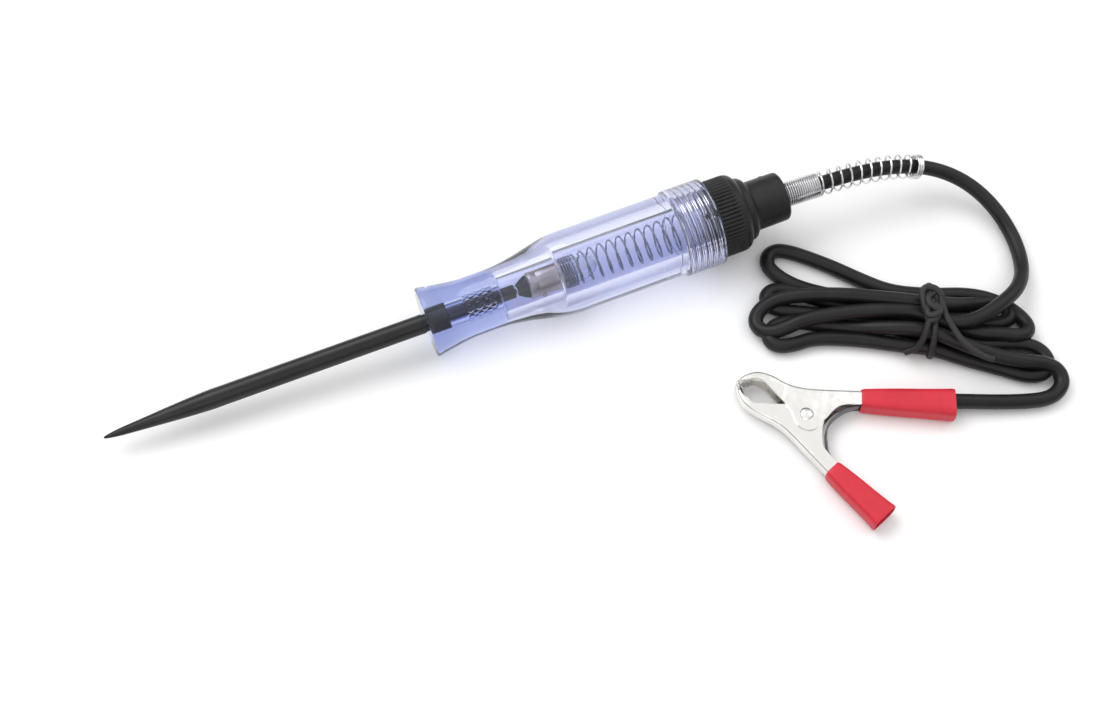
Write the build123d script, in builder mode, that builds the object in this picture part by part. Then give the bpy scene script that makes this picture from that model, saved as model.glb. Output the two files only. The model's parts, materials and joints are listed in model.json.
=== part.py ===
"""Circuit test light: spike probe, clear handle with a lamp inside, knurled end cap, and a lead with a clip.

Millimetres, +Z up, lying on the plane z = 0. The tool points its spike towards -X.
The origin is under the middle of the tool. A place along the tool is its distance from the spike's point.
"""
from build123d import *
from math import atan, cos, sin, tan, pi, radians
import os

os.makedirs("parts", exist_ok=True)

# driving sizes along the tool, each measured from the spike's point
spike_taper_end = 26.0
shaft_end = 78.5
handle_front = 79.1
flare_rim = 79.9
spike_shoulder = 84.2
spike_knurl = (88.6, 96.6)
bore_floor = 97.7
spike_end = 101.9
shell_front = 105.2
bore_step = 112.6
shell_rear = 113.6
shoulder = 114.0
collar_front = 142.9
thread_front = 143.6
cup_face = 147.9
boss_front = 148.3
spigot_front = 149.7
handle_rear = 152.3
cap_front = 152.5
knurl_rear = 157.8
dome_rear = 162.8
neck_rear = 171.4
conductor_front = 147.1
cable_front = 155.6
spring_seat = 164.0
strain_closed_end = 180.6

# driving radii
spike_radius = 2.35
spike_seat_radius = 2.15
nose_relief_radius = 2.45
tail_radius = 1.7
tail_knurl_radius = 1.95
flare_radius = 8.6
waist_radius = 7.2
body_radius = 10.15
collar_radius = 10.8
bore_radius = 5.4
lamp_bore_radius = 4.1
thread_root = 8.55
thread_crest = 7.9
thread_pitch = 1.5
spigot_radius = 7.75
spigot_groove = 7.35
boss_radius = 4.8
cap_radius = 9.65
neck_radius = 6.15
cap_rib_count = 60
cable_radius = 1.8
cable_bore = 1.95
conductor_radius = 0.6
moulded_grip = 0.02
running_gap = 0.05

# springs
strain_wire = 0.55
strain_outer = 3.15
strain_open_turns = 11
contact_wire = 0.45
contact_front_radius = 3.7
contact_rear_radius = 4.45
contact_closed_turns = 5
contact_open_turns = 12

# clip, lying flat on its side
clip_middle = 2.7
fixed_height = 4.4
lever_height = 3.3
sheet = 0.5
rivet_radius = 1.1
rivet_head = 1.6
clip_origin = (68.6, -52.7)
clip_turn = -22.4

# The tool rests on the flared rim and on the shoulder of the body, so its axis leans by this angle.
lean = atan((body_radius - flare_radius) / (shoulder - flare_rim))
tip_height = flare_radius * cos(lean) - flare_rim * sin(lean)
tip_x = -(neck_rear * cos(lean) + neck_radius * sin(lean)) / 2
tip = Vector(tip_x, 0, tip_height)
forward = Vector(cos(lean), 0, sin(lean))
tool_axis = Axis(tip, forward)
side = Plane(origin=tip, x_dir=forward, z_dir=(0, -1, 0))
upward = side.y_dir


def across(station):
    # plane square to the tool's axis
    return Plane(origin=tip + forward * station, x_dir=(0, 1, 0), z_dir=forward)


def keep(piece, name):
    piece.part.label = name
    export_step(piece.part, f"parts/{name}.step")
    box = piece.part.bounding_box()
    count = len(piece.part.solids())
    print(f"{name:20s} {count} solid  {piece.part.volume:9.2f} mm3  low z {box.min.Z:6.2f}")


# probe
taper = [(0.35, 0.28), (1.2, 0.5), (3.9, 0.88), (9.5, 1.32), (17.8, 1.93), (spike_taper_end, spike_radius)]
with BuildPart() as probe_spike:
    with BuildSketch(side):
        with BuildLine():
            ThreePointArc((0, 0), (0.08, 0.18), taper[0])
            Spline(*taper)
            Polyline(
                taper[-1], (shaft_end, spike_radius), (shaft_end, spike_seat_radius),
                (spike_shoulder, spike_seat_radius),
                (spike_shoulder, tail_radius), (spike_knurl[0], tail_radius),
                (spike_knurl[0], tail_knurl_radius), (spike_knurl[1], tail_knurl_radius),
                (spike_knurl[1], tail_radius), (spike_end - 0.3, tail_radius), (spike_end, tail_radius - 0.3),
                (spike_end, 0), (0, 0),
            )
        make_face()
    revolve(axis=tool_axis)
keep(probe_spike, "probe_spike")

# clear handle
outline = [(flare_rim, flare_radius), (84, 7.9), (88.5, 7.3), (93, waist_radius), (98, 7.3),
           (103, 8.0), (108, 9.1), (111.5, 9.85), (shoulder + 1, body_radius)]
thread_turns = int((handle_rear - thread_front) / thread_pitch)
thread_line = [(handle_rear, thread_root)]
for turn in range(thread_turns):
    start = handle_rear - turn * thread_pitch
    thread_line += [(start - 0.45, thread_root), (start - 0.7, thread_crest),
                    (start - 0.95, thread_crest), (start - 1.2, thread_root)]
thread_line += [(thread_front, thread_root)]
with BuildPart() as handle_body:
    with BuildSketch(side):
        with BuildLine():
            Polyline((handle_front + 0.4, spike_seat_radius - moulded_grip),
                     (handle_front + 0.3, nose_relief_radius), (handle_front, nose_relief_radius),
                     (handle_front, flare_radius - 0.5))
            ThreePointArc((handle_front, flare_radius - 0.5), (handle_front + 0.2, flare_radius - 0.22),
                          outline[0])
            Spline(*outline, tangents=((1, -0.24), (1, 0)))
            Polyline(
                outline[-1], (collar_front, body_radius), (collar_front, collar_radius - 0.25),
                (collar_front + 0.25, collar_radius), (handle_rear - 0.25, collar_radius),
                (handle_rear, collar_radius - 0.25), thread_line[0],
            )
            Polyline(*thread_line)
            Polyline(
                thread_line[-1], (thread_front, bore_radius), (bore_step, bore_radius),
                (bore_step, lamp_bore_radius), (bore_floor, lamp_bore_radius),
                (bore_floor, tail_radius - moulded_grip), (spike_knurl[1], tail_radius - moulded_grip),
                (spike_knurl[1], tail_knurl_radius - moulded_grip),
                (spike_knurl[0], tail_knurl_radius - moulded_grip),
                (spike_knurl[0], tail_radius - moulded_grip), (spike_shoulder, tail_radius - moulded_grip),
                (spike_shoulder, spike_seat_radius - moulded_grip),
                (handle_front + 0.4, spike_seat_radius - moulded_grip),
            )
        make_face()
    revolve(axis=tool_axis)
keep(handle_body, "handle_body")

# lamp
shell_radius = 3.3
shell_wall = 0.3
flange_radius = 3.65
glass_radius = 3.0
pin_station = 108.4
lamp_front = 102.6
with BuildPart() as bulb_contact:
    with BuildSketch(side):
        with BuildLine():
            Polyline((spike_end + running_gap, 0), (spike_end + running_gap, 0.5))
            ThreePointArc((spike_end + running_gap, 0.5), (102.2, 0.85), (lamp_front, 1.0))
            Polyline((lamp_front, 1.0), (lamp_front, 0), (spike_end + running_gap, 0))
        make_face()
    revolve(axis=tool_axis)
keep(bulb_contact, "bulb_contact")

with BuildPart() as bulb_insulator:
    with BuildSketch(side):
        with BuildLine():
            Polyline((lamp_front, 0), (lamp_front, 1.5), (103.1, 1.75), (104.8, 2.75), (shell_front, 2.85),
                     (shell_front, 0), close=True)
        make_face()
    revolve(axis=tool_axis)
keep(bulb_insulator, "bulb_insulator")

with BuildPart() as bulb_shell:
    with BuildSketch(side):
        with BuildLine():
            Polyline(
                (shell_front, 2.0), (shell_front, 2.85), (shell_front + 0.35, shell_radius),
                (shell_rear - 0.7, shell_radius), (shell_rear - 0.4, flange_radius),
                (shell_rear, flange_radius),
                (shell_rear, glass_radius + 0.03), (shell_front + 0.6, glass_radius + 0.03),
                (shell_front + 0.4, 2.0), close=True,
            )
        make_face()
    revolve(axis=tool_axis)
    for facing in (1, -1):
        pin_foot = tip + forward * pin_station + Vector(0, facing * (shell_radius - shell_wall / 2), 0)
        with BuildSketch(Plane(origin=pin_foot, z_dir=(0, facing, 0))):
            Circle(0.45)
        extrude(amount=0.75)
keep(bulb_shell, "bulb_shell")

glass_mouth = 109.5
glass_crown = 122.4
glass_neck = shell_rear + 0.6
glass_wall = 0.35
with BuildPart() as bulb_glass:
    with BuildSketch(side):
        with BuildLine():
            Polyline((glass_mouth, glass_radius - glass_wall), (glass_mouth, glass_radius),
                     (glass_neck, glass_radius))
            Spline((glass_neck, glass_radius), (117.6, 3.15), (120.6, 2.55), (glass_crown, 0),
                   tangents=((1, 0), (0, -1)))
            Polyline((glass_crown, 0), (glass_crown - glass_wall, 0))
            Spline((glass_crown - glass_wall, 0), (120.4, 2.2), (117.6, 2.8),
                   (glass_neck, glass_radius - glass_wall), tangents=((0, 1), (-1, 0)))
            Polyline((glass_neck, glass_radius - glass_wall), (glass_mouth, glass_radius - glass_wall))
        make_face()
    revolve(axis=tool_axis)
keep(bulb_glass, "bulb_glass")

bead_station = (110.6, 112.2)
lead_gap = 1.0
filament_station = 117.2
with BuildPart() as bulb_bead:
    with BuildSketch(across(bead_station[0])):
        Circle(1.7)
        with Locations((-lead_gap, 0), (lead_gap, 0)):
            Circle(0.16, mode=Mode.SUBTRACT)
    extrude(amount=bead_station[1] - bead_station[0])
keep(bulb_bead, "bulb_bead")

with BuildPart() as bulb_leads:
    with BuildSketch(across(shell_front + 0.7)):
        with Locations((-lead_gap, 0), (lead_gap, 0)):
            Circle(0.15)
    extrude(amount=filament_station - shell_front - 0.7)
keep(bulb_leads, "bulb_leads")

filament_wire = 0.09
filament_coils = 9
coil_points = []
for step in range(filament_coils * 8 + 1):
    share = step / (filament_coils * 8)
    angle = 2 * pi * filament_coils * share
    along_wire = -lead_gap + 0.2 + share * 2 * (lead_gap - 0.2)
    centre = tip + forward * (filament_station + 0.35) + Vector(0, along_wire, 0)
    coil_points.append(centre + forward * 0.2 * cos(angle) + upward * 0.2 * sin(angle))
with BuildPart() as bulb_filament:
    with BuildLine() as filament_line:
        Spline(*coil_points)
    with BuildSketch(Plane(origin=filament_line.line @ 0, z_dir=filament_line.line % 0)):
        Circle(filament_wire / 2)
    sweep(path=filament_line.line, is_frenet=True)
keep(bulb_filament, "bulb_filament")

# contact spring behind the lamp
points_per_turn = 8
spring_turns = contact_closed_turns + contact_open_turns + 1
closed_pitch = contact_wire * 1.15
spring_start = shell_rear + contact_wire * 0.6
spring_travel = cup_face - contact_wire * 0.6 - spring_start
open_pitch = (spring_travel - (contact_closed_turns + 1) * closed_pitch) / contact_open_turns


def pitch_at(turn):
    # the pitch opens over one turn and closes again over one turn
    opening = min(max(turn - contact_closed_turns + 0.5, 0), 1)
    closing = min(max(turn - contact_closed_turns - contact_open_turns + 0.5, 0), 1)
    return closed_pitch + (open_pitch - closed_pitch) * (opening - closing)


spring_points = []
station = spring_start
for step in range(spring_turns * points_per_turn + 1):
    turn = step / points_per_turn
    share = min(max((turn - contact_closed_turns) / contact_open_turns, 0), 1)
    radius = contact_front_radius + (contact_rear_radius - contact_front_radius) * share
    swing = Vector(0, 1, 0) * cos(2 * pi * turn) + upward * sin(2 * pi * turn)
    spring_points.append(tip + forward * station + swing * radius)
    station += pitch_at(turn + 0.5 / points_per_turn) / points_per_turn
with BuildPart() as contact_spring:
    with BuildLine() as contact_line:
        Spline(*spring_points)
    with BuildSketch(Plane(origin=contact_line.line @ 0, z_dir=contact_line.line % 0)):
        Circle(contact_wire / 2)
    sweep(path=contact_line.line, is_frenet=True)
keep(contact_spring, "contact_spring")

# end cap and its contact
with BuildPart() as contact_cup:
    with BuildSketch(side):
        with BuildLine():
            Polyline(
                (cup_face, conductor_radius + 0.02), (cup_face, boss_radius + 0.05),
                (cup_face + 0.2, boss_radius + 0.32),
                (spigot_front - 0.3, boss_radius + 0.32), (spigot_front - 0.3, boss_radius + 0.02),
                (boss_front, boss_radius + 0.02), (boss_front, conductor_radius + 0.02), close=True,
            )
        make_face()
    revolve(axis=tool_axis)
keep(contact_cup, "contact_cup")

with BuildPart() as cap_solder:
    with BuildSketch(side):
        with BuildLine():
            Line((cup_face, conductor_radius + 0.01), (cup_face, 1.5))
            ThreePointArc((cup_face, 1.5), (cup_face - 0.35, 1.15), (cup_face - 0.6, conductor_radius + 0.01))
            Line((cup_face - 0.6, conductor_radius + 0.01), (cup_face, conductor_radius + 0.01))
        make_face()
    revolve(axis=tool_axis)
keep(cap_solder, "cap_solder")

with BuildPart() as cap_conductor:
    with BuildSketch(across(conductor_front)):
        Circle(conductor_radius)
    extrude(amount=cable_front - conductor_front)
keep(cap_conductor, "cap_conductor")

groove_line = [(spigot_front, boss_radius), (spigot_front, spigot_groove)]
for turn in range(2):
    start = spigot_front + 0.15 + turn * 1.2
    groove_line += [(start + 0.15, spigot_radius), (start + 0.55, spigot_radius),
                    (start + 0.75, spigot_groove), (start + 1.0, spigot_groove)]
with BuildPart() as end_cap:
    with BuildSketch(side):
        with BuildLine():
            Polyline(*groove_line)
            Polyline(groove_line[-1], (cap_front, spigot_groove), (cap_front, cap_radius - 0.25),
                     (cap_front + 0.25, cap_radius), (knurl_rear, cap_radius))
            ThreePointArc((knurl_rear, cap_radius), (159.5, 9.2), (160.3, 8.2))
            ThreePointArc((160.3, 8.2), (161.9, 7.6), (dome_rear, neck_radius + 0.1))
            Polyline((dome_rear, neck_radius + 0.1), (neck_rear - 0.8, neck_radius - 0.1))
            ThreePointArc((neck_rear - 0.8, neck_radius - 0.1), (neck_rear - 0.23, neck_radius - 0.33),
                          (neck_rear, neck_radius - 0.9))
            Polyline(
                (neck_rear, neck_radius - 0.9), (neck_rear, strain_outer + 0.1),
                (spring_seat, strain_outer + 0.1),
                (spring_seat, cable_bore), (cable_front, cable_bore), (cable_front, conductor_radius + 0.1),
                (boss_front, conductor_radius + 0.1), (boss_front, boss_radius), (spigot_front, boss_radius),
            )
        make_face()
    revolve(axis=tool_axis)
    with BuildSketch(across(cap_front)):
        with PolarLocations(cap_radius + 0.12, cap_rib_count):
            Rectangle(0.5, 0.5, rotation=45)
    extrude(amount=knurl_rear + 0.6 - cap_front, mode=Mode.SUBTRACT)
keep(end_cap, "end_cap")

# strain relief spring
# close turns stand straight out of the neck, and the open turns follow the lead as it bends down
strain_mean = strain_outer - strain_wire / 2
bend_start = tip + forward * strain_closed_end
bend_middle = bend_start + forward * 13.5
bend_end = Vector(120.3, -2.2, 10.1)


def strain_centre(share):
    return (bend_start * (1 - share) ** 2 + bend_middle * 2 * share * (1 - share) + bend_end * share ** 2)


def strain_heading(share):
    return ((bend_middle - bend_start) * (1 - share) + (bend_end - bend_middle) * share).normalized()


strain_points = []
strain_steps = strain_open_turns * points_per_turn
for step in range(strain_steps + 1):
    share = step / strain_steps
    heading = strain_heading(share)
    across_dir = heading.cross(Vector(0, 0, 1)).normalized()
    up_dir = across_dir.cross(heading).normalized()
    turn_angle = 2 * pi * step / points_per_turn
    swing = across_dir * cos(turn_angle) + up_dir * sin(turn_angle)
    strain_points.append(strain_centre(share) + swing * strain_mean)
with BuildPart() as strain_spring:
    close_turns = int((strain_closed_end - spring_seat) / strain_wire)
    rib_line = [(spring_seat, strain_mean - 0.1), (spring_seat, strain_mean)]
    for turn in range(close_turns):
        start = spring_seat + turn * strain_wire
        rib_line += [(start + 0.12, strain_outer - 0.05), (start + strain_wire / 2, strain_outer),
                     (start + strain_wire - 0.12, strain_outer - 0.05), (start + strain_wire, strain_mean)]
    with BuildSketch(side):
        with BuildLine():
            Polyline(*rib_line, (rib_line[-1][0], strain_mean - 0.1), close=True)
        make_face()
    revolve(axis=tool_axis)
    with BuildLine() as strain_line:
        Spline(*strain_points)
    with BuildSketch(Plane(origin=strain_line.line @ 0, z_dir=strain_line.line % 0)):
        Circle(strain_wire / 2)
    sweep(path=strain_line.line, is_frenet=True)
keep(strain_spring, "strain_spring")

# lead
arc_route = [
    tuple(tip + forward * cable_front), tuple(tip + forward * 167),
    (93.0, -0.2, 12.85), (104.8, -0.5, 12.75), (115.5, -1.4, 11.5), (125.5, -3.5, 8.6),
    (133.0, -9.0, 6.0), (137.3, -17.0, 3.6), (138.3, -26.5, 2.0), (135.6, -35.2, 2.6), (130.2, -41.0, 4.4),
]
lead_route = [
    (127.6, -58.6, 3.2), (131.6, -60.0, 2.7), (133.0, -63.6, 2.2), (131.0, -67.0, 1.9), (126.6, -68.4, 1.9),
    (119.0, -67.0, 2.0), (111.5, -64.6, 2.3), (104.6, -61.9, 2.7), (98.2, -59.4, 2.7),
]


def corner_radii(route):
    radii = []
    for before, corner, after in zip(route, route[1:], route[2:]):
        run_in = Vector(*corner) - Vector(*before)
        run_out = Vector(*after) - Vector(*corner)
        half_turn = radians(run_in.get_angle(run_out)) / 2
        radii.append(0.45 * min(run_in.length, run_out.length) / tan(half_turn))
    return radii


def lead_length(route_line):
    return sum(edge.length for edge in route_line.edges())


with BuildPart() as cable_arc:
    with BuildLine() as arc_line:
        FilletPolyline(*arc_route, radius=corner_radii(arc_route))
    with BuildSketch(Plane(origin=arc_line.line @ 0, z_dir=arc_line.line % 0)):
        Circle(cable_radius)
    sweep(path=arc_line.line)
keep(cable_arc, "cable_arc")

with BuildPart() as cable_lead:
    with BuildLine() as lead_line:
        FilletPolyline(*lead_route, radius=corner_radii(lead_route))
    with BuildSketch(Plane(origin=lead_line.line @ 0, z_dir=lead_line.line % 0)):
        Circle(cable_radius)
    sweep(path=lead_line.line)
keep(cable_lead, "cable_lead")

for name, route, path, piece in (("arc", arc_route, arc_line.line, cable_arc),
                                 ("lead", lead_route, lead_line.line, cable_lead)):
    radii = ", ".join(f"{radius:.1f}" for radius in corner_radii(route))
    ratio = piece.part.volume / (lead_length(path) * pi * cable_radius ** 2)
    print(f"{name} radii {radii}; length {lead_length(path):.1f}; volume ratio {ratio:.4f}")

# folded hank and its tie
hank_height = 7.4
hank_outline = [
    (75.6, -8.6), (78.6, -6.4), (83.0, -6.6), (93.4, -15.0), (99.2, -22.4), (104.6, -28.6), (111.4, -31.4),
    (122.8, -35.4), (130.4, -41.4), (132.8, -49.0), (132.4, -54.6), (129.1, -56.0), (127.4, -60.9),
    (123.0, -61.2), (115.0, -58.6), (103.6, -48.4), (97.4, -45.4), (89.4, -39.8), (79.2, -34.0),
    (68.0, -31.2), (66.2, -27.2), (66.8, -22.0),
]
with BuildPart() as cable_hank:
    with BuildSketch(Plane.XY):
        with BuildLine():
            Polyline(*hank_outline, close=True)
        make_face()
    extrude(amount=hank_height)
    chamfer(cable_hank.faces().sort_by(Axis.Z)[-1].edges(), length=2.0)
    chamfer(cable_hank.faces().sort_by(Axis.Z)[0].edges(), length=0.8)
keep(cable_hank, "cable_hank")

tie_middle = Vector(107.5, -40.0, 0)
tie_heading = Vector(0.908, -0.419, 0).normalized()
tie_plane = Plane(origin=tie_middle, x_dir=(-tie_heading.Y, tie_heading.X, 0), z_dir=tie_heading)
tie_width = 1.8
with BuildPart() as cable_tie:
    with BuildSketch(tie_plane.offset(-tie_width / 2)):
        with Locations((-0.5, 4.1)):
            RectangleRounded(20.6, 8.2, 3.0)
            RectangleRounded(18.6, 6.2, 2.2, mode=Mode.SUBTRACT)
    extrude(amount=tie_width)
    with BuildSketch(tie_plane.offset(-2.2)):
        with Locations((4.0, 9.0)):
            RectangleRounded(8.4, 3.2, 1.5)
    extrude(amount=4.4)
keep(cable_tie, "cable_tie")

# clip
clip_plane = Plane(
    origin=(clip_origin[0], clip_origin[1], 0),
    x_dir=(cos(radians(clip_turn)), sin(radians(clip_turn)), 0), z_dir=(0, 0, 1),
)
fixed_bottom = clip_middle - fixed_height / 2
lever_bottom = clip_middle - lever_height / 2
fixed_back = [(-16.3, 8.1), (-14.0, 10.1), (-10.9, 11.0), (-7.4, 10.0), (-4.4, 8.2), (-1.4, 7.2), (3.0, 6.7),
              (13.0, 6.5), (29.0, 6.0)]
lever_back = [(-16.0, 7.5), (-15.7, 5.4), (-14.7, 3.2), (-13.1, 1.5), (-10.8, 0.0), (-7.4, -1.9),
              (-4.0, -4.9), (4.3, -14.8), (13.2, -24.6)]


def inside(back, shift):
    # the same edge moved towards the jaw's inner side
    moved = []
    for index, point in enumerate(back):
        before = Vector(*back[max(index - 1, 0)])
        after = Vector(*back[min(index + 1, len(back) - 1)])
        heading = (after - before).normalized()
        moved.append((point[0] + shift * heading.Y, point[1] - shift * heading.X))
    return moved


with BuildPart() as clip_fixed_jaw:
    with BuildSketch(clip_plane.offset(fixed_bottom)):
        with BuildLine():
            Spline(*fixed_back)
            Polyline(fixed_back[-1], (29.0, 3.0), (13.0, 2.9), (9.6, 2.7))
            ThreePointArc((9.6, 2.7), (6.2, 1.0), (3.4, -2.0))
            ThreePointArc((3.4, -2.0), (0.2, -4.0), (-2.9, -1.2))
            Polyline((-2.9, -1.2), (-3.8, 1.4), (-9.1, 7.8))
            ThreePointArc((-9.1, 7.8), (-11.3, 9.1), (-14.2, 8.3))
            Line((-14.2, 8.3), fixed_back[0])
        make_face()
        Circle(rivet_radius, mode=Mode.SUBTRACT)
    extrude(amount=fixed_height)
    with BuildSketch(clip_plane.offset(fixed_bottom + sheet)):
        with BuildLine():
            Spline(*inside(fixed_back, sheet))
            Polyline(inside(fixed_back, sheet)[-1], (31.0, 5.0), (31.0, -6.0), (-8.0, -6.0), (-19.0, 6.0),
                     inside(fixed_back, sheet)[0])
        make_face()
    extrude(amount=fixed_height - 2 * sheet, mode=Mode.SUBTRACT)
keep(clip_fixed_jaw, "clip_fixed_jaw")

with BuildPart() as clip_lever_jaw:
    with BuildSketch(clip_plane.offset(lever_bottom)):
        with BuildLine():
            Spline(*lever_back)
            Polyline(lever_back[-1], (15.3, -22.6), (6.4, -12.0), (4.5, -9.4))
            ThreePointArc((4.5, -9.4), (3.5, -6.4), (3.6, -3.0))
            ThreePointArc((3.6, -3.0), (2.8, 2.3), (-1.6, 3.2))
            Polyline((-1.6, 3.2), (-4.9, 2.7), (-12.4, 2.8))
            ThreePointArc((-12.4, 2.8), (-13.9, 4.6), (-14.9, 7.0))
            Line((-14.9, 7.0), lever_back[0])
        make_face()
        Circle(rivet_radius + running_gap, mode=Mode.SUBTRACT)
    extrude(amount=lever_height)
    with BuildSketch(clip_plane.offset(lever_bottom + sheet)):
        with BuildLine():
            Spline(*inside(lever_back, -sheet))
            Polyline(inside(lever_back, -sheet)[-1], (18.0, -24.0), (10.0, 5.0), (-10.0, 8.0), (-14.5, 9.0),
                     inside(lever_back, -sheet)[0])
        make_face()
    extrude(amount=lever_height - 2 * sheet, mode=Mode.SUBTRACT)
keep(clip_lever_jaw, "clip_lever_jaw")

rivet_head_height = 0.5
with BuildPart() as clip_rivet:
    with BuildSketch(clip_plane.offset(fixed_bottom)):
        Circle(rivet_radius)
    extrude(amount=fixed_height)
    for level, direction in ((fixed_bottom, -1), (fixed_bottom + fixed_height, 1)):
        with BuildSketch(clip_plane.offset(level)):
            Circle(rivet_head)
        extrude(amount=direction * rivet_head_height, taper=35)
keep(clip_rivet, "clip_rivet")

strip_thickness = 0.4
strip_height = 2.1
strip_route = [(18.0, 4.6), (13.0, 3.4), (9.2, 2.0), (6.0, -0.6), (4.5, -3.4), (4.3, -6.6), (4.7, -9.6),
               (5.9, -12.4), (8.4, -16.0)]
with BuildPart() as clip_spring:
    with BuildSketch(clip_plane.offset(clip_middle - strip_height / 2)):
        with BuildLine():
            Spline(*strip_route)
            Polyline(strip_route[-1], inside(strip_route, -strip_thickness)[-1])
            Spline(*inside(strip_route, -strip_thickness))
            Polyline(inside(strip_route, -strip_thickness)[0], strip_route[0])
        make_face()
    extrude(amount=strip_height)
keep(clip_spring, "clip_spring")


def grip_sections(start, end, start_size, end_size):
    # planes square to the sleeve at its two ends, with the width and height of each
    heading = Vector(end[0] - start[0], end[1] - start[1], 0).normalized()
    planes = []
    for point, size in ((start, start_size), (end, end_size)):
        origin = clip_plane.from_local_coords(Vector(point[0], point[1], clip_middle))
        world_heading = clip_plane.from_local_coords(heading) - clip_plane.from_local_coords(Vector(0, 0, 0))
        section = Plane(origin=origin, x_dir=world_heading.cross(Vector(0, 0, 1)), z_dir=world_heading)
        planes.append((section, size))
    return planes


sleeve_wall = 0.42
fixed_grip = grip_sections((13.1, 4.7), (35.1, 4.1), (4.6, 5.2), (7.4, 5.4))
lever_grip = grip_sections((5.7, -12.9), (16.9, -24.8), (4.0, 4.4), (6.8, 5.4))
with BuildPart() as clip_grip_fixed:
    for plane, size in fixed_grip:
        with BuildSketch(plane):
            RectangleRounded(size[0], size[1], 1.9)
    loft()
    for plane, size in fixed_grip:
        with BuildSketch(plane):
            RectangleRounded(size[0] - 2 * sleeve_wall, size[1] - 2 * sleeve_wall, 1.5)
    loft(mode=Mode.SUBTRACT)
keep(clip_grip_fixed, "clip_grip_fixed")

with BuildPart() as clip_grip_lever:
    for plane, size in lever_grip:
        with BuildSketch(plane):
            RectangleRounded(size[0], size[1], 1.9)
    loft()
    for plane, size in lever_grip:
        with BuildSketch(plane):
            RectangleRounded(size[0] - 2 * sleeve_wall, size[1] - 2 * sleeve_wall, 1.5)
    loft(mode=Mode.SUBTRACT)
keep(clip_grip_lever, "clip_grip_lever")

conductor_end = Vector(*lead_route[-1])
conductor_heading = (conductor_end - Vector(*lead_route[-2])).normalized()
with BuildPart() as clip_conductor:
    with BuildSketch(Plane(origin=conductor_end, z_dir=conductor_heading)):
        Circle(conductor_radius)
    extrude(amount=6.5)
keep(clip_conductor, "clip_conductor")

print("lean", lean * 180 / pi, "tip", tip)
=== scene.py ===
import bpy
import bmesh
import json
from math import cos, pi, radians, sin, sqrt
from mathutils import Matrix, Vector


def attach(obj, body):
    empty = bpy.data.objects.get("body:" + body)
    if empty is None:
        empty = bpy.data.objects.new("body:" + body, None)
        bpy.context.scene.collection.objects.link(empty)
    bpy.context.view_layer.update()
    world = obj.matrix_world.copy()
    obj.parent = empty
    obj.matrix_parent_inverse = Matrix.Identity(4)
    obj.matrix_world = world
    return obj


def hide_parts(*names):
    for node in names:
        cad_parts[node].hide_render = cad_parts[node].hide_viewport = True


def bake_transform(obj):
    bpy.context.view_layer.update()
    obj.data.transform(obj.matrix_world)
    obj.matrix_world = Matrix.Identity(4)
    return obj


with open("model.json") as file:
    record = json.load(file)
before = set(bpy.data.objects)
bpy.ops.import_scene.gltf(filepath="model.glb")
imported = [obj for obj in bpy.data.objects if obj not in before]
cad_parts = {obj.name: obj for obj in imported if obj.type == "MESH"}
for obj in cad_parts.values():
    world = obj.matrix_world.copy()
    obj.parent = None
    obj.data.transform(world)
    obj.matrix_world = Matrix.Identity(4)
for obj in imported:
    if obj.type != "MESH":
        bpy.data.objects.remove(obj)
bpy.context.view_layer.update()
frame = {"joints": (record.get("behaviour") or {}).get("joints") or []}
mm = 0.001

# the tool's own axis comes from the joint that unscrews the handle; stations along it are mm from the point
joints = {joint["name"]: joint for joint in frame["joints"]}
handleFront = 79.1
forward = -Vector(joints["handle_unscrew"]["axis"]).normalized()
spikePoint = Vector(joints["handle_unscrew"]["pos_m"]) - forward * handleFront * mm
sideways = Vector((0, 1, 0))
upward = forward.cross(sideways)
toolFrame = Matrix((forward, sideways, upward)).transposed().to_4x4()
toolFrame.translation = spikePoint
partFrame = Matrix()


def onAxis(station):
    return (spikePoint + forward * station * mm) / mm


# camera

camera = {
    "place": (-0.0472, -0.1853, 0.3522), "aim": (0.0171, -0.0181, 0.0080),
    "lens": 54.3, "sensor": 36, "nearest": 0.02, "furthest": 8,
}


def placeCamera():
    data = bpy.data.cameras.new("camera")
    data.lens = camera["lens"]
    data.sensor_width = camera["sensor"]
    data.clip_start = camera["nearest"]
    data.clip_end = camera["furthest"]
    eye = bpy.data.objects.new("camera", data)
    eye.location = camera["place"]
    aim = Vector(camera["aim"]) - Vector(camera["place"])
    eye.rotation_euler = aim.to_track_quat("-Z", "Y").to_euler()
    bpy.context.scene.collection.objects.link(eye)
    bpy.context.scene.camera = eye


placeCamera()
print("camera placed")

# shading helpers


class Wire:
    # a socket that can stand in a sum with numbers and other sockets
    def __init__(self, finish, socket):
        self.finish = finish
        self.socket = socket

    def work(self, operation, *values):
        node = self.finish.add("Math", {"operation": operation}, dict(enumerate(values)))
        return Wire(self.finish, node.outputs[0])

    def __add__(self, other):
        return self.work("ADD", self, other)

    def __sub__(self, other):
        return self.work("SUBTRACT", self, other)

    def __rsub__(self, other):
        return self.work("SUBTRACT", other, self)

    def __mul__(self, other):
        return self.work("MULTIPLY", self, other)

    __radd__ = __add__
    __rmul__ = __mul__


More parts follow.
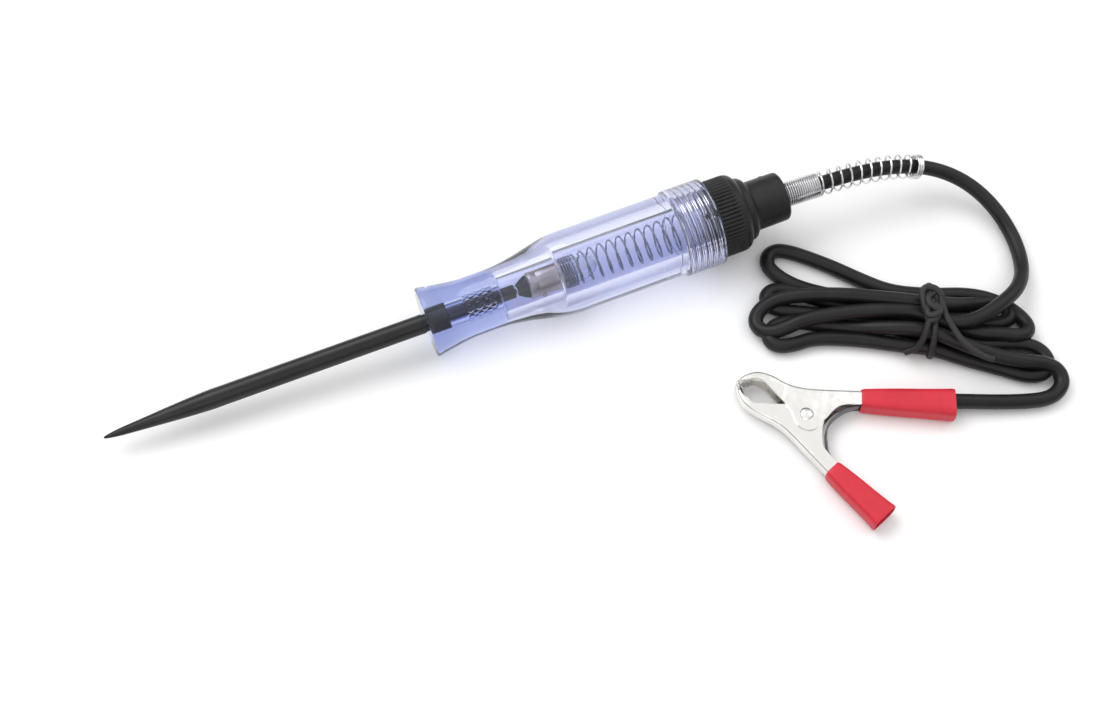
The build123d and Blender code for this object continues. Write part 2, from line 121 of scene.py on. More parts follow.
class Finish:
    # one procedural material, or the room's world, under construction
    def __init__(self, name, world=None):
        self.material = world or bpy.data.materials.new(name)
        self.material.use_nodes = True
        self.tree = self.material.node_tree
        self.shader = self.tree.nodes.get("Principled BSDF")
        self.output = self.tree.nodes.get("Material Output")

    def add(self, kind, settings=None, sockets=None):
        node = self.tree.nodes.new("ShaderNode" + kind)
        for key, value in (settings or {}).items():
            setattr(node, key, value)
        for key, value in (sockets or {}).items():
            self.feed(node.inputs[key], value)
        return node

    def feed(self, socket, value):
        if isinstance(value, Wire):
            self.tree.links.new(value.socket, socket)
        elif socket.type == "RGBA" and len(value) == 3:
            socket.default_value = (*value, 1)
        else:
            socket.default_value = value

    def set(self, **sockets):
        for key, value in sockets.items():
            self.feed(self.shader.inputs[key.replace("_", " ")], value)

    def here(self, scale=(1, 1, 1)):
        # the place on the piece in millimetres, stretched by scale
        place = Wire(self, self.add("TexCoord").outputs["Object"])
        stretched = self.add("VectorMath", {"operation": "MULTIPLY"}, {0: place, 1: [n / mm for n in scale]})
        return Wire(self, stretched.outputs[0])

    def noise(self, size, detail=2.0, roughness=0.5, scale=(1, 1, 1)):
        node = self.add("TexNoise", {"noise_dimensions": "3D"}, {
            "Vector": self.here(scale), "Scale": 1 / size, "Detail": detail, "Roughness": roughness})
        return Wire(self, node.outputs["Fac"])

    def spread(self, wire, low, high, newLow=0.0, newHigh=1.0):
        node = self.add("MapRange", {"clamp": True}, {
            "Value": wire, "From Min": low, "From Max": high, "To Min": newLow, "To Max": newHigh})
        return Wire(self, node.outputs["Result"])

    def blendColours(self, factor, first, second):
        node = self.add("Mix", {"data_type": "RGBA"}, {0: factor, 6: first, 7: second})
        return Wire(self, node.outputs[2])

    def mottle(self, pattern, low, high, first, second):
        # the first colour where the pattern is low, the second where it is high
        return self.blendColours(self.spread(pattern, low, high), first, second)

    def bump(self, height, depth, strength=1.0):
        node = self.add("Bump", None, {"Height": height, "Distance": depth * mm, "Strength": strength})
        self.feed(self.shader.inputs["Normal"], Wire(self, node.outputs["Normal"]))

    def station(self):
        # along, across and above, in millimetres
        parts = self.add("SeparateXYZ", None, {0: self.here()})
        return [Wire(self, socket) for socket in parts.outputs]


def blackSteel():
    finish = Finish("blackSteel")
    grain = finish.noise(0.35, 3, 0.6)
    drawn = finish.noise(0.5, 3, 0.6, (0.06, 1, 1))
    cloud = finish.noise(9, 2, 0.5)
    colour = finish.mottle(cloud, 0.3, 0.7, (0.006, 0.006, 0.0065), (0.013, 0.013, 0.014))
    rubbed = finish.spread(grain, 0.62, 0.8) * 0.5
    finish.set(Base_Color=finish.blendColours(rubbed, colour, (0.05, 0.05, 0.054)))
    finish.set(Roughness=finish.spread(drawn, 0.3, 0.7, 0.28, 0.42), Specular_IOR_Level=0.36)
    finish.bump(grain * 0.7 + drawn * 0.5, 0.02)
    return finish.material


def letLightThrough(finish, colour):
    # shadow rays pass, tinted, so that what is inside is lit
    clear = finish.add("BsdfTransparent", None, {"Color": colour})
    path = finish.add("LightPath")
    both = finish.add("MixShader", None, {
        0: Wire(finish, path.outputs["Is Shadow Ray"]), 1: Wire(finish, finish.shader.outputs[0]),
        2: Wire(finish, clear.outputs[0])})
    finish.tree.links.new(both.outputs[0], finish.output.inputs["Surface"])


def handlePlastic():
    # the tint is deeper at the rims and where the moulding is solid, round the tail of the spike
    finish = Finish("handlePlastic")
    swirl = finish.noise(14, 2, 0.5, (0.35, 1, 1))
    light = finish.mottle(swirl, 0.3, 0.7, (0.67, 0.70, 0.91), (0.74, 0.765, 0.935))
    deep = finish.mottle(swirl, 0.3, 0.7, (0.40, 0.46, 0.80), (0.46, 0.52, 0.84))
    facing = Wire(finish, finish.add("LayerWeight", None, {"Blend": 0.35}).outputs["Facing"])
    tinted = finish.blendColours(finish.spread(facing, 0.35, 1.0) * 0.85, light, (0.38, 0.44, 0.80))
    solid = finish.spread(finish.station()[0], 98.6, 97.2)
    finish.set(Base_Color=finish.blendColours(solid, tinted, deep), Transmission_Weight=1.0, IOR=1.49)
    finish.set(Roughness=finish.spread(finish.noise(2.5, 3, 0.6), 0.35, 0.75, 0.012, 0.05))
    finish.bump(finish.noise(5, 2, 0.4, (0.3, 1, 1)), 0.05, 0.5)
    letLightThrough(finish, (0.88, 0.885, 0.92))
    return finish.material


def lampGlass():
    finish = Finish("lampGlass")
    dust = finish.noise(0.8, 3, 0.6)
    finish.set(Base_Color=finish.blendColours(dust, (0.93, 0.95, 0.97), (0.99, 0.99, 1.0)))
    finish.set(Transmission_Weight=1.0, IOR=1.5, Roughness=finish.spread(dust, 0.4, 0.8, 0.0, 0.06))
    finish.bump(finish.noise(2, 2, 0.5), 0.02)
    letLightThrough(finish, (0.97, 0.98, 0.99))
    return finish.material


def blackMoulding():
    finish = Finish("blackMoulding")
    cloud = finish.noise(4, 2, 0.5)
    finish.set(Base_Color=finish.mottle(cloud, 0.3, 0.7, (0.009, 0.009, 0.0095), (0.017, 0.017, 0.018)))
    finish.set(Roughness=finish.spread(cloud, 0.3, 0.7, 0.34, 0.46), Specular_IOR_Level=0.3)
    finish.bump(finish.noise(0.22, 3, 0.7), 0.03, 0.7)
    return finish.material


def brightMetal(name, colour, dark, smoothest, roughest):
    finish = Finish(name)
    drawn = finish.noise(0.5, 3, 0.6, (0.15, 1, 1))
    finish.set(Base_Color=finish.mottle(finish.noise(6, 2, 0.5), 0.35, 0.8, colour, dark), Metallic=1.0)
    finish.set(Roughness=finish.spread(drawn, 0.3, 0.75, smoothest, roughest))
    finish.bump(drawn, 0.012, 0.6)
    return finish.material


def nickelPlate(name, crease=None):
    # crease is a line across the plate where the sheet steps, in mm from the rivet
    finish = Finish(name)
    brushed = finish.noise(0.4, 4, 0.6, (0.12, 1.2, 1.2))
    stain = finish.noise(5.5, 3, 0.55)
    scratch = finish.spread(finish.noise(0.9, 2, 0.5, (0.08, 2.4, 1)), 0.68, 0.74)
    colour = finish.mottle(stain, 0.4, 0.75, (0.90, 0.885, 0.86), (0.80, 0.785, 0.76))
    finish.set(Base_Color=finish.blendColours(scratch * 0.3, colour, (0.97, 0.97, 0.97)), Metallic=1.0)
    finish.set(Roughness=finish.spread(stain, 0.35, 0.75, 0.14, 0.26))
    height = brushed * 0.02 + scratch * 0.01 + finish.noise(3.5, 1, 0.5) * 0.12
    if crease:
        start, end = Vector(crease[0]), Vector(crease[1])
        way = (end - start).normalized()
        along, across = finish.station()[:2]
        offset = (along - start.x) * way.y - (across - start.y) * way.x
        height = height + finish.spread(offset, -0.4, 0.4) * 0.07
    finish.bump(height, 0.8, 0.7)
    return finish.material


def cableSkin():
    finish = Finish("cableSkin")
    fine = finish.noise(0.3, 3, 0.65)
    cloud = finish.noise(7, 3, 0.5)
    finish.set(Base_Color=finish.mottle(cloud, 0.3, 0.75, (0.007, 0.006, 0.007), (0.015, 0.0135, 0.0145)))
    finish.set(Roughness=finish.spread(cloud, 0.3, 0.7, 0.34, 0.46), Specular_IOR_Level=0.3)
    finish.bump(fine + cloud * 0.6, 0.04, 0.6)
    return finish.material


def tieStrip():
    finish = Finish("tieSkin")
    weave = finish.noise(0.5, 3, 0.6, (1, 1, 0.4))
    finish.set(Base_Color=finish.mottle(weave, 0.35, 0.7, (0.009, 0.009, 0.009), (0.022, 0.021, 0.022)))
    finish.set(Roughness=finish.spread(weave, 0.3, 0.7, 0.48, 0.62))
    finish.bump(weave, 0.08, 0.8)
    return finish.material


def redVinyl():
    finish = Finish("redVinyl")
    cloud = finish.noise(5, 3, 0.55)
    fine = finish.noise(0.28, 3, 0.6)
    finish.set(Base_Color=finish.mottle(cloud, 0.3, 0.75, (0.57, 0.008, 0.026), (0.67, 0.016, 0.040)))
    finish.set(Roughness=finish.spread(cloud, 0.3, 0.7, 0.34, 0.46))
    finish.bump(fine * 0.5 + cloud, 0.05, 0.5)
    return finish.material


# colour, darker colour, smoothest and roughest
metals = {
    "zincWire": ((0.80, 0.80, 0.81), (0.62, 0.62, 0.64), 0.16, 0.30),
    "springWire": ((0.30, 0.31, 0.36), (0.20, 0.21, 0.25), 0.22, 0.34),
    "cupPlate": ((0.52, 0.52, 0.53), (0.36, 0.36, 0.37), 0.28, 0.45),
    "shellPlate": ((0.56, 0.50, 0.42), (0.33, 0.28, 0.23), 0.26, 0.44),
    "stripSteel": ((0.20, 0.20, 0.22), (0.10, 0.10, 0.12), 0.24, 0.40),
    "solder": ((0.62, 0.62, 0.64), (0.42, 0.42, 0.43), 0.30, 0.5),
    "copperStrand": ((0.72, 0.36, 0.20), (0.45, 0.20, 0.12), 0.25, 0.4),
    "leadWire": ((0.42, 0.40, 0.39), (0.25, 0.24, 0.24), 0.3, 0.45),
}
finishes = {name: brightMetal(name, *look) for name, look in metals.items()}
finishes.update({
    "blackSteel": blackSteel(),
    "handlePlastic": handlePlastic(),
    "lampGlass": lampGlass(),
    "capPlastic": blackMoulding(),
    "nickelPlate": nickelPlate("nickelPlate"),
    "fixedNickel": nickelPlate("fixedNickel", ((-4.1, 7.8), (-5.6, 3.0))),
    "leverNickel": nickelPlate("leverNickel", ((-7.8, -1.4), (-5.0, 1.4))),
    "cableSkin": cableSkin(),
    "tieStrip": tieStrip(),
    "redVinyl": redVinyl(),
})
print("finishes made:", len(finishes))

# mesh helpers: all sizes in mm, in the frame of the piece


def makePiece(name, shape, finish, body, place, slotName, *nodes, crease=32):
    # a shape is points and faces; the piece rides the body and takes the place of the part's nodes
    points, faces = shape
    mesh = bpy.data.meshes.new(name)
    mesh.from_pydata([Vector(point) * mm for point in points], [], faces)
    mesh.validate()
    work = bmesh.new()
    work.from_mesh(mesh)
    bmesh.ops.recalc_face_normals(work, faces=work.faces)
    work.to_mesh(mesh)
    work.free()
    mesh.shade_smooth()
    mesh.set_sharp_from_angle(angle=radians(crease))
    mesh.materials.append(finishes[finish])
    piece = bpy.data.objects.new(name, mesh)
    bpy.context.scene.collection.objects.link(piece)
    piece.matrix_world = place
    if body:
        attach(piece, body)
    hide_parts(*nodes)
    return piece


def joined(shapes):
    points, faces = [], []
    for morePoints, moreFaces in shapes:
        faces += [tuple(number + len(points) for number in face) for face in moreFaces]
        points += morePoints
    return points, faces


def skin(rings, size, closed=False):
    # quads between rings of points, with a flat cap on both ends unless the last ring meets the first
    faces = []
    for ring in range(rings if closed else rings - 1):
        first, second = ring * size, (ring + 1) % rings * size
        for side in range(size):
            after = (side + 1) % size
            faces.append((first + side, second + side, second + after, first + after))
    if not closed:
        faces += [tuple(range(size)), tuple(range((rings - 1) * size, rings * size))]
    return faces


def headingAt(line, index):
    return (line[min(index + 1, len(line) - 1)] - line[max(index - 1, 0)]).normalized()


def throughPoints(points, steps):
    # a smooth line through every point
    line = []
    for index in range(len(points) - 1):
        p0 = Vector(points[max(index - 1, 0)])
        p1 = Vector(points[index])
        p2 = Vector(points[index + 1])
        p3 = Vector(points[min(index + 2, len(points) - 1)])
        for step in range(steps):
            t = step / steps
            line.append(0.5 * (2 * p1 + (p2 - p0) * t + (2 * p0 - 5 * p1 + 4 * p2 - p3) * t ** 2
                               + (3 * p1 - p0 - 3 * p2 + p3) * t ** 3))
    return line + [Vector(points[-1])]


def evenly(start, end, count):
    start, end = Vector(start), Vector(end)
    return [start.lerp(end, index / count) for index in range(count + 1)]


def quarter(corner, before, after, steps=4):
    # a rounded corner between two points beside it
    corner, before, after = Vector(corner), Vector(before), Vector(after)
    points = []
    for step in range(steps + 1):
        t = step / steps
        points.append(before * (1 - t) ** 2 + corner * 2 * t * (1 - t) + after * t ** 2)
    return points


def lathe(profile, segments, closed=False, shape=None):
    # rings round the tool's axis; shape(station, angle, radius) may move a point in or out
    points, rings, faces = [], [], []
    for station, radius in profile:
        if radius < 1e-6:
            rings.append([len(points)])
            points.append((station, 0, 0))
            continue
        ring = []
        for index in range(segments):
            angle = 2 * pi * index / segments
            reach = shape(station, angle, radius) if shape else radius
            ring.append(len(points))
            points.append((station, reach * cos(angle), reach * sin(angle)))
        rings.append(ring)
    pairs = list(zip(rings, rings[1:])) + ([(rings[-1], rings[0])] if closed else [])
    for first, second in pairs:
        for index in range(segments):
            after = (index + 1) % segments
            if len(first) == 1 and len(second) == 1:
                continue
            if len(first) == 1:
                faces.append((first[0], second[index], second[after]))
            elif len(second) == 1:
                faces.append((first[index], second[0], first[after]))
            else:
                faces.append((first[index], second[index], second[after], first[after]))
    return points, faces


def tube(path, width, height=None, sides=10, up=None):
    # a wire along the path, round or, with a height, flattened
    height = height or width
    path = [Vector(point) for point in path]
    points = []
    normal = Vector(up or ((0, 0, 1) if abs(headingAt(path, 0).z) < 0.9 else (1, 0, 0)))
    for index, centre in enumerate(path):
        heading = headingAt(path, index)
        normal = (normal - heading * normal.dot(heading)).normalized()
        beside = heading.cross(normal)
        for side in range(sides):
            angle = 2 * pi * side / sides
            points.append(centre + beside * cos(angle) * width / 2 + normal * sin(angle) * height / 2)
    return points, skin(len(path), sides)


# cord: one line from inside the cap, through the folded hank, to the clip

cord = {
    "diameter": 3.6,
    "firstStation": 155.6,
    "secondStation": 167,
    "length": 0.70,
    "arc": [
        (93.0, -0.2, 12.85), (104.8, -0.5, 12.75), (115.5, -1.4, 11.5), (125.5, -3.5, 8.6),
        (133.0, -9.0, 6.0), (137.3, -17.0, 3.6), (138.3, -26.5, 2.0), (135.6, -35.2, 3.0),
        (130.6, -40.8, 5.9),
    ],
    "hank": [
        (124.6, -43.6, 7.2), (118.0, -45.4, 7.0), (111.8, -44.9, 6.5), (107.4, -40.8, 6.1),
        (103.0, -37.0, 6.1), (92.5, -32.8, 5.6), (79.1, -29.6, 5.0), (72.8, -29.8, 3.4),
        (68.8, -28.4, 2.4), (68.0, -24.9, 2.3), (70.8, -22.2, 2.9), (76.8, -21.8, 4.4),
        (89.0, -26.6, 5.6), (100.3, -32.6, 6.0), (108.8, -37.3, 6.2), (114.4, -39.4, 5.2),
        (120.0, -39.8, 2.7), (125.0, -40.6, 1.9), (127.6, -43.4, 1.8), (126.2, -46.6, 1.8),
        (121.2, -46.0, 1.8), (115.2, -41.2, 2.0), (109.0, -36.7, 2.5), (101.0, -32.4, 2.0),
        (89.3, -25.2, 1.8), (82.0, -19.6, 1.8), (78.6, -14.8, 1.8), (77.6, -11.0, 1.8),
        (79.6, -8.2, 1.8), (83.4, -8.6, 1.8), (91.7, -16.6, 1.8), (97.4, -23.4, 1.8),
        (102.5, -29.0, 2.0), (110.5, -33.4, 2.5), (121.0, -36.8, 2.0), (127.0, -42.0, 1.8),
        (129.4, -47.6, 2.0), (128.8, -51.0, 2.7), (125.6, -52.0, 3.5), (121.4, -49.9, 4.0),
        (116.5, -47.8, 4.0), (111.8, -43.9, 3.0), (107.5, -40.0, 2.5), (98.0, -34.0, 2.0),
        (90.0, -28.4, 1.8), (84.0, -23.4, 1.8), (79.4, -19.4, 1.8), (75.6, -18.0, 1.8),
        (73.2, -19.8, 1.8), (74.2, -23.6, 1.8), (86.0, -29.6, 1.9), (96.0, -36.6, 2.2),
        (106.0, -43.3, 2.5), (112.5, -48.9, 2.0), (124.0, -52.4, 1.8), (128.6, -55.0, 1.8),
        (129.8, -59.2, 1.8), (127.2, -62.4, 1.8), (123.0, -61.6, 1.8), (118.5, -57.8, 1.8),
        (110.8, -51.9, 2.0), (104.5, -46.6, 2.5), (98.7, -43.4, 2.0), (90.4, -38.4, 1.8),
        (80.1, -33.8, 1.8), (74.2, -33.8, 1.8), (70.4, -32.6, 1.8), (69.4, -29.8, 1.8),
        (71.8, -27.4, 1.8), (76.2, -27.6, 1.8), (80.0, -29.4, 1.8), (89.6, -34.8, 2.0),
        (96.4, -38.9, 4.8), (101.5, -41.7, 6.0), (105.7, -44.4, 6.1), (110.3, -49.3, 5.8),
        (117.0, -55.4, 5.4), (122.8, -58.8, 5.0),
    ],
    "lead": [
        (127.6, -60.6, 3.9), (130.4, -63.2, 2.5), (129.4, -66.8, 1.9), (125.0, -68.6, 1.9),
        (119.0, -67.2, 2.0), (111.5, -64.6, 2.3), (104.6, -61.9, 2.7), (98.2, -59.4, 2.7),
    ],
}


def layCord():
    curve = bpy.data.curves.new("lead_cable", "CURVE")
    curve.dimensions = "3D"
    route = [onAxis(cord["firstStation"]), onAxis(cord["secondStation"])]
    route += cord["arc"] + cord["hank"] + cord["lead"]
    line = curve.splines.new("NURBS")
    line.points.add(len(route) - 1)
    for point, place in zip(line.points, route):
        point.co = (*(Vector(place) * mm), 1)
    line.order_u = 3
    line.use_endpoint_u = True
    line.resolution_u = 12
    piece = bpy.data.objects.new("lead_cable", curve)
    bpy.context.scene.collection.objects.link(piece)
    bpy.context.view_layer.update()
    bare = bpy.data.meshes.new_from_object(piece)
    centreLine = [vertex.co / mm for vertex in bare.vertices]
    bpy.data.meshes.remove(bare)
    curve.bevel_depth = cord["diameter"] / 2 * mm
    curve.bevel_resolution = 7
    curve.use_fill_caps = True
    curve.materials.append(finishes["cableSkin"])
    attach(piece, "cap_and_lead")
    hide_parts("cable_arc", "cable_hank", "cable_lead")
    return piece, centreLine


cordPiece, cordLine = layCord()
cordLength = sum((b - a).length for a, b in zip(cordLine, cordLine[1:]))
print(f"cord laid, {cordLength:.0f} mm long")

# spike

spike = {
    "taper": [
        (0.1, 0.16), (0.35, 0.30), (1.2, 0.50), (3.9, 0.88), (9.5, 1.32), (17.8, 1.93), (25.0, 2.33),
        (28.0, 2.35),
    ],
    "shaftRadius": 2.35, "shaftEnd": 78.5, "seatRadius": 2.15, "shoulder": 84.2, "tailRadius": 1.7,
    "tailEnd": 101.9, "knurl": (88.6, 96.6), "knurlHeight": 0.27, "diamondsRound": 13, "diamondLength": 1.15,
}


def knurlHeight(station, angle):
    # two crossing sets of grooves leave pointed diamonds
    start, end = spike["knurl"]
    fade = min(max((station - start) / 0.4, 0), 1) * min(max((end - station) / 0.4, 0), 1)
    turn = angle / (2 * pi) * spike["diamondsRound"]
    run = (station - start) / spike["diamondLength"] / 2
    rightHand = 1 - abs(2 * ((turn + run) % 1) - 1)
    leftHand = 1 - abs(2 * ((turn - run) % 1) - 1)
    return spike["knurlHeight"] * fade * min(1, 1.5 * min(rightHand, leftHand))


def makeSpike():
    shaft, seat, tail = spike["shaftRadius"], spike["seatRadius"], spike["tailRadius"]
    shaftEnd, shoulder, end = spike["shaftEnd"], spike["shoulder"], spike["tailEnd"]
    knurlStart, knurlEnd = spike["knurl"]
    profile = [(0, 0), *throughPoints(spike["taper"], 6)]
    profile += evenly((28.5, shaft), (shaftEnd, shaft), 12)
    profile += [(shaftEnd + 0.06, seat), (shoulder - 0.25, seat)]
    profile += quarter((shoulder, seat), (shoulder - 0.25, seat), (shoulder, seat - 0.25), 3)
    profile += [(shoulder, tail + 0.05), (shoulder + 0.05, tail)]
    profile += evenly((knurlStart - 0.1, tail), (knurlEnd + 0.1, tail), 96)
    profile += [(end - 0.35, tail), *quarter((end, tail), (end - 0.3, tail), (end, tail - 0.3), 3), (end, 0)]

    def knurled(station, angle, radius):
        return radius + knurlHeight(station, angle) if knurlStart < station < knurlEnd else radius

    makePiece("spike", lathe(profile, 156, shape=knurled), "blackSteel", "handle", toolFrame, "spike_steel",
              "probe_spike")


makeSpike()
print("spike made")

# handle

handle = {
    "outline": [
        (79.9, 8.6), (84.0, 7.9), (88.5, 7.3), (93.0, 7.2), (98.0, 7.3), (103.0, 8.0), (108.0, 9.1),
        (111.5, 9.85), (115.0, 10.15), (118.0, 10.15),
    ],
    "bodyRadius": 10.15, "collarFront": 142.9, "collarRadius": 10.8, "rear": 152.3,
    "threadFront": 143.6, "threadRoot": 8.55, "threadDepth": 0.5, "pitch": 1.5,
    "bore": 5.4, "boreStep": 112.6, "lampBore": 4.1, "boreFloor": 97.7, "spikeHole": 2.08, "noseHole": 2.12,
    "seamHeight": 0.06, "seamWidth": 0.35, "seamAngle": 1.95,
    "nub": {"station": 150.5, "angle": 1.95, "length": 1.6, "width": 0.85, "height": 0.5},
}


def threadDepth(station, angle, pitch, depth, fadeFrom, fadeTo):
    # a right-hand thread that runs out at both ends
    phase = (station / pitch - angle / (2 * pi)) % 1
    crest = (0.5 - 0.5 * cos(2 * pi * phase)) ** 1.5
    fade = min(max((station - fadeFrom) / 0.6, 0), 1) * min(max((fadeTo - station) / 0.6, 0), 1)
    return depth * crest * fade


def handleShape(station, angle, radius):
    if abs(radius - handle["threadRoot"]) < 0.001:
        start, end = handle["threadFront"], handle["rear"]
        return radius - threadDepth(station, angle, handle["pitch"], handle["threadDepth"], start, end)
    if abs(radius - handle["spikeHole"]) < 0.001:
        return radius + knurlHeight(station, angle) * 0.6
    if radius < 7:
        return radius
    # the halves of the mould leave a fine line along both sides, and the gate a small nub on the collar
    reach = radius
    for side in (handle["seamAngle"], handle["seamAngle"] + pi):
        offCentre = radius * ((angle - side + pi) % (2 * pi) - pi)
        reach += handle["seamHeight"] * max(0, 1 - abs(offCentre) / handle["seamWidth"])
    nub = handle["nub"]
    along = (station - nub["station"]) / nub["length"]
    around = radius * ((angle - nub["angle"] + pi) % (2 * pi) - pi) / nub["width"]
    if abs(along) < 1 and abs(around) < 1 and radius > handle["bodyRadius"] + 0.4:
        reach += nub["height"] * sqrt(1 - around ** 2) * (1 - along ** 8)
    return reach


def makeHandle():
    body, collar, root = handle["bodyRadius"], handle["collarRadius"], handle["threadRoot"]
    front, rear, thread = handle["collarFront"], handle["rear"], handle["threadFront"]
    bore, step, lampBore, floor = handle["bore"], handle["boreStep"], handle["lampBore"], handle["boreFloor"]
    spikeHole, noseHole, shoulder = handle["spikeHole"], handle["noseHole"], spike["shoulder"]
    profile = [(handleFront, noseHole + 0.2), *evenly((handleFront, 4.0), (handleFront, 8.05), 3)]
    profile += quarter((handleFront, 8.62), (handleFront, 8.1), (79.85, 8.6), 6)[1:-1]
    profile += throughPoints(handle["outline"], 8)
    profile += evenly((119.0, body), (front - 0.25, body), 14)
    profile += quarter((front, body), (front - 0.2, body), (front, body + 0.2), 3)
    profile += quarter((front, collar), (front, collar - 0.22), (front + 0.22, collar), 3)
    profile += evenly((front + 0.6, collar), (rear - 0.5, collar), 26)
    profile += quarter((rear, collar), (rear - 0.22, collar), (rear, collar - 0.22), 3)
    profile += quarter((rear, root + 0.02), (rear, root + 0.4), (rear - 0.3, root + 0.02), 3)
    profile += evenly((rear - 0.4, root), (thread + 0.05, root), 120)
    profile += [(thread, root - 0.2), (thread, bore + 0.3)]
    profile += quarter((thread, bore), (thread, bore + 0.25), (thread - 0.25, bore), 3)
    profile += evenly((thread - 1, bore), (step + 0.6, bore), 20)
    profile += quarter((step, bore), (step + 0.3, bore), (step, bore - 0.3), 3)
    profile += [(step, lampBore + 0.25), (step - 0.2, lampBore)]
    profile += evenly((step - 0.8, lampBore), (floor + 0.7, lampBore), 10)
    profile += quarter((floor, lampBore), (floor + 0.4, lampBore), (floor, lampBore - 0.4), 4)
    profile += [(floor, 2.6), (floor, spikeHole + 0.02)]
    profile += evenly((floor - 0.02, spikeHole), (shoulder + 0.15, spikeHole), 150)
    profile += [(shoulder - 0.1, noseHole), (handleFront + 0.4, noseHole)]
    profile += [(handleFront + 0.3, noseHole + 0.12)]
    makePiece("handle", lathe(profile, 192, closed=True, shape=handleShape), "handlePlastic", "handle",
              toolFrame, "clear_handle", "handle_body", crease=40)


makeHandle()
print("handle made")

# lamp

lamp = {
    "foot": [(101.96, 0), (101.96, 0.45), (102.05, 0.72), (102.25, 0.92), (102.6, 1.02), (102.6, 0)],
    "insulator": [
        (102.6, 0), (102.6, 1.3), (102.68, 1.48), (103.1, 1.75), (104.0, 2.32), (104.8, 2.75), (105.2, 2.85),
        (105.2, 0),
    ],
    "shell": [
        (105.2, 2.0), (105.2, 2.75), (105.28, 2.95), (105.55, 3.25), (105.8, 3.3), (107.4, 3.3),
        (107.55, 3.22), (107.7, 3.3), (112.9, 3.3), (113.05, 3.42), (113.2, 3.62), (113.35, 3.66),
        (113.5, 3.64), (113.6, 3.55), (113.6, 3.04), (105.9, 3.04), (105.6, 2.0),
    ],
    "pinStation": 108.4, "pinRadius": 0.45, "shellRadius": 3.3, "pinReach": 0.6,
    "glass": [
        (109.5, 3.0), (112.0, 3.0), (114.2, 3.0), (116.0, 3.16), (117.6, 3.15), (119.4, 2.92), (120.9, 2.35),
        (122.0, 1.3), (122.4, 0.0),
    ],
    "glassWall": 0.35, "beadStart": 110.6, "beadEnd": 112.2, "beadRadius": 1.7,
    "wire": 0.30, "wireRoute": [(105.9, 1.0), (111.4, 1.0), (114.5, 0.92), (117.2, 1.0), (117.55, 0.88)],
    "filamentWire": 0.08, "coils": 10, "coilRadius": 0.2, "coilSteps": 14, "filamentReach": 0.8, "bow": 0.25,
}


def pressedPin(side):
    # a half-round pin pressed out of one side of the shell
    start, reach = lamp["shellRadius"] - 0.1, lamp["shellRadius"] + lamp["pinReach"]
    rings = [(start, 1.0), (reach - 0.15, 1.0), (reach - 0.04, 0.85), (reach, 0.6)]
    points, steps = [], 20
    for level, share in rings:
        radius = lamp["pinRadius"] * share
        for step in range(steps):
            angle = 2 * pi * step / steps
            points.append((lamp["pinStation"] + radius * cos(angle), side * level, radius * sin(angle)))
    return points, skin(len(rings), steps)


def lampGlassShape():
    start, end, wall = lamp["glass"][0][0], lamp["glass"][-1][0], lamp["glassWall"]
    outer = [(point.x, max(point.y, 0)) for point in throughPoints(lamp["glass"], 5)]
    inner = [(station - wall * 0.6 * (station - start) / (end - start), radius - wall)
             for station, radius in outer if radius - wall > 0.15]
    return lathe([(end - wall, 0), *inner[::-1], *outer[:-1], (end, 0)], 96)


def filamentShape():
    coil, total = [], lamp["coils"] * lamp["coilSteps"]
    for step in range(total + 1):
        share = step / total
        angle = 2 * pi * lamp["coils"] * share
        station = lamp["wireRoute"][-1][0] + lamp["coilRadius"] * cos(angle) + lamp["bow"] * sin(pi * share)
        coil.append((station, lamp["filamentReach"] * (2 * share - 1), lamp["coilRadius"] * sin(angle)))
    return tube(coil, lamp["filamentWire"], sides=6)


def makeLamp():
    start, end, radius = lamp["beadStart"], lamp["beadEnd"], lamp["beadRadius"]
    bead = [(start, 0), *quarter((start, radius), (start, radius - 0.5), (start + 0.4, radius), 3),
            *quarter((end, radius), (end - 0.4, radius), (end, radius - 0.5), 3), (end, 0)]
    wires = []
    for side in (1, -1):
        route = [(station, side * reach, 0) for station, reach in lamp["wireRoute"]]
        wires.append(tube(throughPoints(route, 4), lamp["wire"]))
    shell = joined([lathe(lamp["shell"], 96, closed=True), pressedPin(1), pressedPin(-1)])
    insulator = lathe(lamp["insulator"], 64)
    for name, shape, finish, slotName, node, crease in (
        ("lampFoot", lathe(lamp["foot"], 64), "solder", "solder", "bulb_contact", 32),
        ("lampInsulator", insulator, "capPlastic", "lamp_insulator", "bulb_insulator", 32),
        ("lampShell", shell, "shellPlate", "lamp_shell", "bulb_shell", 32),
        ("lampGlassBulb", lampGlassShape(), "lampGlass", "lamp_glass", "bulb_glass", 60),
        ("lampBead", lathe(bead, 48), "lampGlass", "lamp_glass", "bulb_bead", 32),
        ("lampWires", joined(wires), "leadWire", "lead_wire", "bulb_leads", 32),
        ("lampFilament", filamentShape(), "leadWire", "lead_wire", "bulb_filament", 32),
    ):
        makePiece(name, shape, finish, "lamp", toolFrame, slotName, node, crease=crease)


makeLamp()
print("lamp made")

# contact spring, which sits between the lamp and the cap

contactSpring = {
    "front": 113.85, "rear": 147.65, "wire": 0.45, "frontRadius": 3.7, "rearRadius": 4.45,
    "closeTurns": 5, "openTurns": 12, "lastTurns": 1.5, "closePitch": 1.3, "stepsPerTurn": 30,
    "startAngle": 0.6,
}


